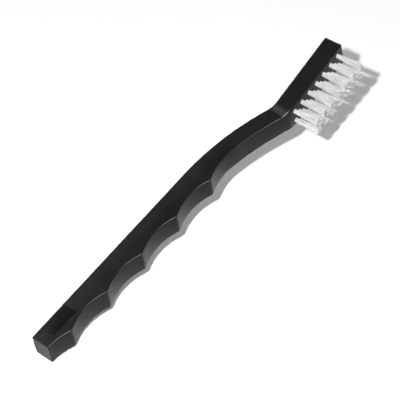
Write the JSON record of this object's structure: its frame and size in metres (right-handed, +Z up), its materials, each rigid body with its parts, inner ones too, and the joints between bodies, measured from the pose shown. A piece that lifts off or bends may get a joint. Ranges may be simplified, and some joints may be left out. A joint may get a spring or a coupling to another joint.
{
  "type": "crevice brush",
  "caption": "Slim moulded cleaning brush with a scalloped finger-grip handle, a cranked neck and a narrow head of short, staggered nylon tufts for grooves and corners.",
  "frame": {"origin": "centre of the bounding box in X and Y, at its lowest point in Z, the face of the head that the brush lies on", "axes": "+X runs from the butt of the handle to the tip of the head, +Y points to the back of the handle, so the tufts point to -Y, and +Z points up through the thickness; the brush lies on its side"},
  "size_m": [0.1846, 0.029, 0.0127],
  "materials": {
    "handle_plastic": "black polypropylene, gloss with a faint moulded texture",
    "bristle_nylon": "white translucent nylon filament, cut ends",
    "anchor_metal": "bright flat strip, sheared"
  },
  "bodies": {
    "root": {"handle": "handle_plastic", "tuft_upper_1": "bristle_nylon", "tuft_upper_2": "bristle_nylon", "tuft_upper_3": "bristle_nylon", "tuft_upper_4": "bristle_nylon", "tuft_upper_5": "bristle_nylon", "tuft_upper_6": "bristle_nylon", "tuft_upper_7": "bristle_nylon", "tuft_middle_1": "bristle_nylon", "tuft_middle_2": "bristle_nylon", "tuft_middle_3": "bristle_nylon", "tuft_middle_4": "bristle_nylon", "tuft_middle_5": "bristle_nylon", "tuft_middle_6": "bristle_nylon", "tuft_lower_1": "bristle_nylon", "tuft_lower_2": "bristle_nylon", "tuft_lower_3": "bristle_nylon", "tuft_lower_4": "bristle_nylon", "tuft_lower_5": "bristle_nylon", "tuft_lower_6": "bristle_nylon", "tuft_lower_7": "bristle_nylon", "anchor_upper_1": "anchor_metal", "anchor_upper_2": "anchor_metal", "anchor_upper_3": "anchor_metal", "anchor_upper_4": "anchor_metal", "anchor_upper_5": "anchor_metal", "anchor_upper_6": "anchor_metal", "anchor_upper_7": "anchor_metal", "anchor_middle_1": "anchor_metal", "anchor_middle_2": "anchor_metal", "anchor_middle_3": "anchor_metal", "anchor_middle_4": "anchor_metal", "anchor_middle_5": "anchor_metal", "anchor_middle_6": "anchor_metal", "anchor_lower_1": "anchor_metal", "anchor_lower_2": "anchor_metal", "anchor_lower_3": "anchor_metal", "anchor_lower_4": "anchor_metal", "anchor_lower_5": "anchor_metal", "anchor_lower_6": "anchor_metal", "anchor_lower_7": "anchor_metal"}
  },
  "joints": []
}
